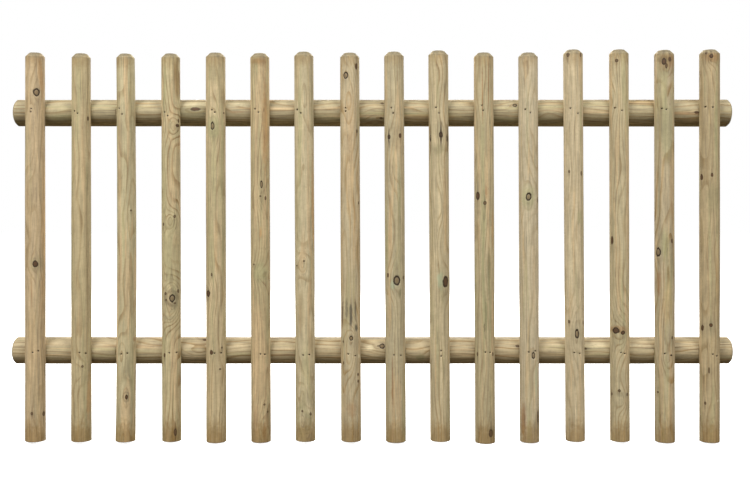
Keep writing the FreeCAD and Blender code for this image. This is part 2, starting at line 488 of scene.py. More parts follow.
    def late_wood(self, tree: NodeTree, year: Plug) -> Node:
        """Gives how much summer wood shows: it comes on slowly and ends sharply, more in some years.

        Args:
            tree: the material's node tree.
            year: the growth rings out to the point.

        Returns:
            The share of summer wood, from 0 to 1.
        """
        add = partial(add_node, tree)
        season = add("Math.FRACT", [year])
        number = add("Math.FLOOR", [year])
        strong = add("TexWhiteNoise", {"W": number}, noise_dimensions="1D")
        strength = add("MapRange", {0: strong, 3: 0.45})
        for start, end in ((0.50, 0.91), (1.0, 0.94)):
            share = add("MapRange", [season, start, end], **EASED)
            strength = add("Math.MULTIPLY", [strength, share])
        return strength


@dataclass(frozen=True)
class NailFinish:
    """Galvanised steel, hammered and dulled: a grey head with dark scuffs that hardly shines."""

    zinc: str = "#625a4a"
    scuff: str = "#231e18"
    spangle: float = 0.9  # mm, the size of its blotches
    dents: float = 0.1 * MM  # how deep the hammer marked it

    def material(self) -> Material:
        """Makes the nails' metal.

        Returns:
            The material.
        """
        made = bpy.data.materials.new("galvanised_steel_hammered")
        made.use_nodes = True
        made.node_tree.nodes.clear()
        add = partial(add_node, made.node_tree)
        point = add("TexCoord").outputs["Object"]
        blotch = add("TexNoise", {"Vector": point, "Scale": 1.0 / (self.spangle * MM), "Detail": 3.0})
        worn = add("MapRange", [blotch, 0.35, 0.65])
        metal = add("Mix", {0: worn, 6: linear(self.scuff), 7: linear(self.zinc)}, **COLOUR)
        bump = add("Bump", {"Height": blotch, "Strength": 0.4, "Distance": self.dents})
        shader = add("BsdfPrincipled", {
            "Base Color": metal.outputs[2], "Roughness": add("MapRange", [blotch, 0.3, 0.7, 0.7, 0.45]),
            "Normal": bump, "Metallic": 0.5,
        })
        add("OutputMaterial", {"Surface": shader})
        return made


# ------------ the sticks


@dataclass
class Stick:
    """A turned stick of wood. Its bmesh is made upright in its own metres and then laid in the row frame."""

    node: str
    grain: Grain
    knots: list[Knot]
    patches: list[Patch]
    seed: float
    base: float = 0.0  # height of its foot, in mm, as its knots are measured
    cell: float = 2.6 * MM  # spacing of the mesh along the stick
    ripple: float = 0.35 * MM  # how uneven the rounding left it
    slow: tuple[float, float] = (19.0, 120.0)  # mm across and along from one slow wave to the next
    quick: tuple[float, float] = (5.0, 37.0)  # the same for its quick waves
    swell: float = 0.45 * MM  # how far the wood stands proud over a knot
    groove: float = 0.75 * MM  # how deep a dead knot's bark rim is sunk

    def section(self, mesh: BMesh, outline: BMFace, stations: list[tuple[float, float]],
                radius: float) -> None:
        """Draws the outline up through its stations.

        Args:
            mesh: the stick's mesh, with the outline at height 0.
            outline: the face at the foot.
            stations: each height, and how far inside the round the edge lies there.
            radius: the outline's own radius.
        """
        face = outline
        start = (radius - stations[0][1]) / radius
        for vert in face.verts:
            vert.co = Vector((vert.co.x * start, vert.co.y * start, stations[0][0]))
        done = start
        for number, (height, inset) in enumerate(stations[1:]):
            drawn = bmesh.ops.extrude_face_region(mesh, geom=[face])["geom"]
            if number:  # the foot stays, and every later face is inside the wood
                bmesh.ops.delete(mesh, geom=[face], context="FACES_ONLY")
            face = next(item for item in drawn if isinstance(item, BMFace))
            size = (radius - inset) / radius
            for vert in face.verts:
                vert.co = Vector((vert.co.x * size / done, vert.co.y * size / done, height))
            done = size

    def refine(self, mesh: BMesh) -> None:
        """Divides every long edge that runs along the stick into cells.

        Args:
            mesh: the stick's mesh.
        """
        spans: dict[tuple[int, int], list[BMEdge]] = {}
        for edge in mesh.edges:
            low, high = sorted(vert.co.z for vert in edge.verts)
            if high - low > 2 * self.cell:
                spans.setdefault((round(low / MM), round(high / MM)), []).append(edge)
        for (low, high), edges in sorted(spans.items()):
            cuts = max(1, round((high - low) * MM / self.cell) - 1)
            bmesh.ops.subdivide_edges(mesh, edges=edges, cuts=cuts)

    def unevenness(self, place: Vector) -> float:
        """How far the surface stands proud of a true round, from the rounding knives and the knots.

        Args:
            place: a point on the stick, in its own metres.

        Returns:
            The height in metres, below 0 for a hollow.
        """
        mm = place / MM + Vector((0.0, 0.0, self.base))
        front = smooth(0.0, 4.0, -mm.y)
        seat = Vector((self.seed, 3.1 * self.seed, 0.0))
        waves = [
            noise.noise(Vector((mm.x / across, mm.y / across, mm.z / along)) + side * seat)
            for (across, along), side in ((self.slow, 1), (self.quick, -1))
        ]
        height = self.ripple * (waves[0] + 0.35 * waves[1])
        for knot in self.knots:
            if front == 0.0 or abs(mm.z - knot.height) > 1.6 * knot.length:
                continue
            reach = math.hypot((mm.x - knot.side) / knot.width, (mm.z - knot.height) / knot.length)
            height += self.swell * front * smooth(1.6, 0.6, reach)
            if knot.kind in (RING, WHORL):
                height -= self.groove * front * smooth(0.62, 0.45, reach) * smooth(0.22, 0.40, reach)
        return height

    def finish_mesh(self, mesh: BMesh, turn_up: float = 0.6) -> Object:
        """Smooths the mesh's shading but for its arrises, and makes it an object.

        Args:
            mesh: the finished mesh, in the row frame.
            turn_up: the angle in radians past which an edge stays sharp.

        Returns:
            The new object, at the origin.
        """
        bmesh.ops.recalc_face_normals(mesh, faces=mesh.faces)
        if mesh.calc_volume(signed=True) < 0.0:
            bmesh.ops.reverse_faces(mesh, faces=mesh.faces)
        for face in mesh.faces:
            face.smooth = True
        for edge in mesh.edges:
            if edge.calc_face_angle(0.0) > turn_up:
                edge.smooth = False
        data = bpy.data.meshes.new(self.node + "_wood")
        mesh.to_mesh(data)
        mesh.free()
        piece = bpy.data.objects.new(self.node + "_wood", data)
        bpy.context.scene.collection.objects.link(piece)
        return piece


@dataclass
class Pale(Stick):
    """A half-round pale: round in front, sawn flat behind, its top edge turned off at 45 degrees."""

    bow: float = 0.0  # how far its middle bends to the right, in m
    round_steps: int = 48  # divisions of the half round
    back_steps: int = 12  # divisions of the flat back
    arris: float = 0.8 * MM  # how far the saw's sharp edges are worn
    chamfer: float = 10.0 * MM
    hole: float = 1.9 * MM  # radius of the hole over a sunk nail head
    around: float = 2.2  # how far out the wood round that hole is shaped, of its radius
    hollow: float = 0.25 * MM  # how far that wood is pressed in
    cover: float = 0.15 * MM  # room between a hole's floor and the nail's head
    saw_mark: float = 0.12 * MM  # how deep the saw marked the back
    frayed: float = 0.35 * MM  # how rough the sawn ends are
    frayed_from: float = 6.0 * MM  # how far from an end that starts

    def __post_init__(self) -> None:
        """Reads the pale's place, lean and taper from its CAD node."""
        low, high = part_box(self.node)
        self.foot, self.top, self.seat = low.z, high.z, high.y
        corners = [vert.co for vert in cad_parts[self.node].data.vertices]
        feet = [co.x for co in corners if co.z < self.foot + 1.0 * MM]
        shoulders = [co.x for co in corners if abs(co.z - self.top + self.chamfer) < 1.5 * MM]
        (self.foot_x, self.foot_radius), (self.top_x, self.top_radius) = span(feet), span(shoulders)
        self.length = self.top - self.foot
        self.base = self.foot / MM
        self.nails = nail_heads("nails_" + self.node)

    def radius_at(self, height: float) -> float:
        """The pale's radius at a height above its foot."""
        return self.foot_radius + (self.top_radius - self.foot_radius) * height / self.length

    def axis_at(self, height: float) -> float:
        """Where the pale's axis is, along the panel, at a height above its foot."""
        share = height / self.length
        return self.foot_x + (self.top_x - self.foot_x) * share + self.bow * 4 * share * (1 - share)

    def build(self, finish: PineFinish) -> Object:
        """Makes the pale's mesh and its wood.

        Args:
            finish: the wood.

        Returns:
            The pale, riding on the panel.
        """
        mesh = bmesh.new()
        radius = self.foot_radius
        bmesh.ops.create_circle(mesh, cap_ends=True, radius=radius, segments=2 * self.round_steps)
        bmesh.ops.bisect_plane(
            mesh, geom=mesh.verts[:] + mesh.edges[:] + mesh.faces[:], dist=SAME / 10,
            plane_co=(0, 0, 0), plane_no=(0, 1, 0), clear_outer=True,
        )
        corners = [vert for vert in mesh.verts if abs(vert.co.y) < SAME]
        bmesh.ops.bevel(
            mesh, geom=corners, offset=self.arris, offset_type="OFFSET", affect="VERTICES", segments=2,
            profile=0.5, material=-1,
        )
        back = max(mesh.edges, key=lambda edge: edge.calc_length())
        bmesh.ops.subdivide_edges(mesh, edges=[back], cuts=self.back_steps - 1)
        mesh.faces.ensure_lookup_table()
        shoulder = self.length - self.chamfer
        worn = self.arris
        stations = [
            (0.0, worn), (0.3 * worn, 0.3 * worn), (worn, 0.0),
            (shoulder - worn, 0.0), (shoulder, 0.25 * worn), (shoulder + worn, worn),
            (self.length - 4.0 * worn, self.chamfer - 4.0 * worn),
            (self.length - worn, self.chamfer - worn), (self.length - 0.3 * worn, self.chamfer),
            (self.length, self.chamfer + worn),
        ]
        self.section(mesh, mesh.faces[0], stations, radius)
        self.refine(mesh)
        mesh.edges.index_update()
        self.open_holes(mesh)
        self.shape(mesh)
        piece = self.finish_mesh(mesh)
        turn = math.atan2(self.foot_x - self.top_x, self.length)
        frame_of = StickFrame(
            (1 / MM,) * 3, (0.0, turn, 0.0),
            (-self.foot_x * math.cos(turn) / MM, -self.seat / MM, self.foot_x * math.sin(turn) / MM),
        )
        # Painted shade in and round each nail hole: a faint dark patch over the dent.
        nail_hole_shade = [
            Patch(head.z / MM, (head.x - self.axis_at(head.z - self.foot)) / MM, 9.0, 5.0, BARK_AND_SHADE, 0.25)
            for head in self.nails
        ]
        # Darker bands at the pale's ends: at the foot a soak stain with painted contact shade, at the top a
        # soak stain, and over the top chamfer a grey and dark painted shade that holds back the light from
        # above.
        end_stains_and_painted_shade = [
            Patch(height / MM, 0, length, 160, tint, strength) for height, length, tint, strength in (
                (self.foot, 130, SOAK_AND_SHADE, 1.0), (self.top, 90, SOAK_AND_SHADE, 0.6), (self.top, 34, GREY, 1.1),
                (self.top, 28, STAIN_AND_SHADE, 0.8),
            )
        ]
        piece.data.materials.append(finish.material(
            self.node, frame_of, self.grain, self.knots, [*self.patches, *nail_hole_shade, *end_stains_and_painted_shade],
            (self.foot_radius + self.top_radius) / 2 / MM, self.seed,
        ))
        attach(piece, "root")
        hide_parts(self.node)
        log.info("%s: %d faces, %d knots", piece.name, len(piece.data.polygons), len(self.knots))
        return piece

    def open_holes(self, mesh: BMesh) -> None:
        """Divides the mesh finely where the nails go in.

        Args:
            mesh: the pale's mesh, upright in its own metres.
        """
        heads = [(head.x - self.axis_at(head.z - self.foot), head.z - self.foot) for head in self.nails]
        edges = set()
        for face in mesh.faces:
            middle = face.calc_center_median()
            if middle.y < -MM and any(
                math.hypot(middle.x - across, middle.z - height) < self.around * self.hole
                for across, height in heads
            ):
                edges.update(face.edges)
        divided = sorted(edges, key=lambda edge: edge.index)
        bmesh.ops.subdivide_edges(mesh, edges=divided, cuts=3, use_grid_fill=True)

    def shape(self, mesh: BMesh) -> None:
        """Gives the pale its taper, lean, bow, unevenness and nail holes, and lays it in the row frame.

        Args:
            mesh: the pale's mesh, upright in its own metres.
        """
        heads = [(head.x, head.z, head.y) for head in self.nails]
        for vert in mesh.verts:
            place = vert.co.copy()
            grown = self.radius_at(place.z) / self.foot_radius
            reach = math.hypot(place.x, place.y)
            front = smooth(0.0, 3.0 * MM, -place.y)
            lift = self.unevenness(place) * front
            size = grown + (lift / reach if reach > MM else 0.0)
            mm = place / MM
            saw = self.saw_mark * (1 - front) * noise.noise(Vector((mm.x / 3, 0, mm.z / 2.2)))
            end = smooth(self.frayed_from, 0.0, min(place.z, self.length - place.z))
            fray = self.frayed * end * noise.noise(Vector((mm.x / 1.7, mm.y / 1.7, self.seed)))
            x = self.axis_at(place.z) + place.x * size
            y = self.seat + place.y * size - abs(saw)
            z = self.foot + place.z + (fray if place.z > self.length / 2 else abs(fray))
            for head_x, head_z, head_y in heads:
                gap = math.hypot(x - head_x, z - head_z)
                if gap < self.around * self.hole and place.y < -MM:
                    floor = head_y + self.cover
                    wall = smooth(1.22 * self.hole, 0.98 * self.hole, gap)
                    rim = self.hollow * smooth(2.1 * self.hole, 1.3 * self.hole, gap) * (1 - wall)
                    y = (y + rim) * (1 - wall) + max(y, floor) * wall
            vert.co = Vector((x, y, z))


@dataclass
class Rail(Stick):
    """A round rail with turned ends and a flat seat under each pale."""

    steps: int = 84  # divisions of the round
    chamfer: float = 5.0 * MM
    worn: float = 0.7 * MM  # how far its chamfers' arrises are worn
    clearance: float = 0.5 * MM  # room between a seat's edge and its pale
    seat_edge: float = 0.25 * MM  # half the width of a seat's worn edge
    seats: list[tuple[float, float]] = field(default_factory=list)
    seat_y: float = 0.0

    def __post_init__(self) -> None:
        """Reads the rail's place and taper from its CAD node."""
        low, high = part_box(self.node)
        self.left, self.length = low.x, high.x - low.x
        corners = [vert.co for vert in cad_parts[self.node].data.vertices]
        self.ends = [
            span([co.z for co in corners if abs(co.x - end) < 1.0 * MM])[1]
            for end in (low.x + self.chamfer, high.x - self.chamfer)
        ]
        self.z = (low.z + high.z) / 2
        self.y = high.y - max(self.ends)

    def radius_at(self, height: float) -> float:
        """The rail's radius at a distance from its left end."""
        return self.ends[0] + (self.ends[1] - self.ends[0]) * height / self.length

    def build(self, finish: PineFinish) -> Object:
        """Makes the rail's mesh and its wood.

        Args:
            finish: the wood.

        Returns:
            The rail, riding on the panel.
        """
        mesh = bmesh.new()
        radius = self.ends[0]
        bmesh.ops.create_circle(mesh, cap_ends=True, radius=radius, segments=self.steps)
        mesh.faces.ensure_lookup_table()
        far, worn = self.length - self.chamfer, self.worn
        stations = [
            (0.0, self.chamfer + worn), (0.3 * worn, self.chamfer), (worn, self.chamfer - worn),
            (self.chamfer - worn, worn), (self.chamfer, 0.25 * worn), (self.chamfer + worn, 0.0),
            (far - worn, 0.0), (far, 0.25 * worn), (far + worn, worn),
            (self.length - worn, self.chamfer - worn), (self.length - 0.3 * worn, self.chamfer),
            (self.length, self.chamfer + worn),
        ]
        self.section(mesh, mesh.faces[0], stations, radius)
        edge = self.seat_edge
        for low, high in self.seats:
            for cut in (low - edge, low + edge, high - edge, high + edge):
                bmesh.ops.bisect_plane(
                    mesh, geom=mesh.verts[:] + mesh.edges[:] + mesh.faces[:], dist=1e-7,
                    plane_co=(0, 0, cut - self.left), plane_no=(0, 0, 1),
                )
        self.refine(mesh)
        self.shape(mesh)
        piece = self.finish_mesh(mesh)
        frame_of = StickFrame(
            (1 / MM,) * 3, (0.0, -math.pi / 2, 0.0), (self.z / MM, -self.y / MM, -self.left / MM)
        )
        piece.data.materials.append(finish.material(
            self.node, frame_of, self.grain, self.knots, self.patches,
            (self.ends[0] + self.ends[1]) / 2 / MM, self.seed,
        ))
        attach(piece, "root")
        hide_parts(self.node)
        log.info("%s: %d faces, %d seats", piece.name, len(piece.data.polygons), len(self.seats))
        return piece

    def shape(self, mesh: BMesh) -> None:
        """Gives the rail its taper, unevenness and seats, and lays it in the row frame.

        Args:
            mesh: the rail's mesh, upright in its own metres.
        """
        for vert in mesh.verts:
            place = vert.co.copy()
            reach = math.hypot(place.x, place.y)
            size = self.radius_at(place.z) / self.ends[0]
            lift = self.unevenness(place)
            size += lift / reach if reach > 5 * MM else 0.0
            x = self.left + place.z
            y = self.y + place.y * size
            for low, high in self.seats:
                if low < x < high:
                    y = max(y, self.seat_y)
            vert.co = Vector((x, y, self.z - place.x * size))


def nail_heads(node: str) -> list[Vector]:
    """Finds the middle of each nail head's top in a node of loose nails.

    Args:
        node: the CAD node's name.

    Returns:
        A point for each nail.
    """
    mesh = bmesh.new()
    mesh.from_mesh(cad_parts[node].data)
    bmesh.ops.remove_doubles(mesh, verts=mesh.verts, dist=0.01 * MM)
    waiting, heads = set(mesh.verts), []
    while waiting:
        island, reached = set(), [waiting.pop()]
        while reached:
            vert = reached.pop()
            island.add(vert)
            for edge in vert.link_edges:
                other = edge.other_vert(vert)
                if other in waiting:
                    waiting.discard(other)
                    reached.append(other)
        front = min(vert.co.y for vert in island)
        top = [vert.co for vert in island if vert.co.y < front + 0.1 * MM]
        heads.append(Vector((span([co.x for co in top])[0], front, span([co.z for co in top])[0])))
    mesh.free()
    return sorted(heads, key=lambda head: (round(head.z, 4), head.x))


# ------------ the studio


@dataclass
class Studio:
    """A plain white sweep, two tall soft boxes in front, one low one behind, and the camera."""

    distance: float = 2.329  # camera to the rails' axes
    height: float = 0.568
    aside: float = 0.0066
    lens: float = 43.41  # mm on a 36 mm sensor
    drop: float = -31 / 750  # how far the view is shifted down, of its width
    middle: tuple[float, float, float] = (0, 0, 0.5)
    white: str = "#ffffff"
    ground: str = "#ffe6bd"  # warm light thrown back up from below

    def build(self, axis_y: float) -> None:
        """Sets up the camera, lights, backdrop and floor.

        Args:
            axis_y: where the rails' axes are, from front to back.
        """
        scene = bpy.context.scene
        scene.view_settings.view_transform = "Standard"
        camera = bpy.data.objects.new("camera", bpy.data.cameras.new("camera"))
        camera.data.lens = self.lens
        camera.data.shift_y = self.drop
        camera.data.dof.use_dof = False
        camera.location = (self.aside, axis_y - self.distance, self.height)
        camera.rotation_euler = (math.pi / 2, 0, 0)
        scene.collection.objects.link(camera)
        scene.camera = camera
        self.light("left_light", (-3.0, -3.0, 4.6), (2.0, 3.6), 358)
        self.light("right_light", (3.0, -3.0, 4.6), (2.0, 3.6), 272)
        self.light("back_light", (0.3, 3.6, 2.4), (3.6, 1.5), 210)
        self.sky()
        self.floor()

    def light(self, name: str, place: tuple[float, float, float], size: tuple[float, float],
              power: float) -> None:
        """Adds a soft box that faces the panel's middle.

        Args:
            name: the light's name.
            place: where it stands.
            size: its width and height.
            power: in watts.
        """
        data = bpy.data.lights.new(name, "AREA")
        data.shape = "RECTANGLE"
        data.size, data.size_y = size
        data.energy = power
        lamp = bpy.data.objects.new(name, data)
        lamp.location = place
        lamp.rotation_euler = (Vector(self.middle) - Vector(place)).to_track_quat("-Z", "Y").to_euler()
        lamp.visible_camera = False
        bpy.context.scene.collection.objects.link(lamp)

    def sky(self) -> None:
        """White where it is seen, and a soft room light that fades downwards where it lights."""
        world = bpy.data.worlds.new("white_room")
        world.use_nodes = True
        bpy.context.scene.world = world
        world.node_tree.nodes.clear()
        add = partial(add_node, world.node_tree)
        up = add("SeparateXYZ", [add("TexCoord").outputs["Generated"]]).outputs[2]
        fade = add("MapRange", [up, -0.5, 0.9, 0.12, 0.34], **EASED)
        seen = add("LightPath").outputs["Is Camera Ray"]
        strength = add("Mix", {0: seen, 2: fade, 3: 1.0}, data_type="FLOAT")
        warm = add("MapRange", [up, -0.6, 0.3])
        lit = add("Mix", {0: warm, 6: linear(self.ground), 7: linear(self.white)}, **COLOUR).outputs[2]
        hue = add("Mix", {0: seen, 6: lit, 7: linear(self.white)}, **COLOUR).outputs[2]
        shader = add("Background", {"Color": hue, "Strength": strength})
        add("OutputWorld", {"Surface": shader})

    def floor(self) -> None:
        """A large white floor just under the feet, which lights nothing from below."""
        mesh = bmesh.new()
        bmesh.ops.create_grid(mesh, x_segments=2, y_segments=2, size=30.0)
        data = bpy.data.meshes.new("floor")
        mesh.to_mesh(data)
        mesh.free()
        floor = bpy.data.objects.new("floor", data)
        floor.location.z = -0.5 * MM
        floor.visible_diffuse = False
        floor.visible_glossy = False
        made = bpy.data.materials.new("white_paper_sweep")
        made.use_nodes = True
        shader = made.node_tree.nodes["Principled BSDF"]
        shader.inputs["Base Color"].default_value = (0.9, 0.9, 0.9, 1.0)
        shader.inputs["Roughness"].default_value = 1.0
        shader.inputs["Emission Color"].default_value = (1.0, 1.0, 1.0, 1.0)
        shader.inputs["Emission Strength"].default_value = 0.75
        data.materials.append(made)
        bpy.context.scene.collection.objects.link(floor)


# ------------ the panel


def timber(kind: type[Stick], names: list[str], woods: list[tuple]) -> list[Stick]:
    """Gives each CAD node its own stick of wood.

    Args:
        kind: the class of stick.
        names: the nodes' names.
        woods: for each its grain, its pattern's seed, its knots and its patches, these as plain tuples.

    Returns:
        The sticks, not yet built.
    """
    return [
        kind(name, grain, [Knot(*knot) for knot in knots], [Patch(*patch) for patch in patches], seed)
        for name, (grain, seed, knots, patches) in zip(names, woods)
    ]


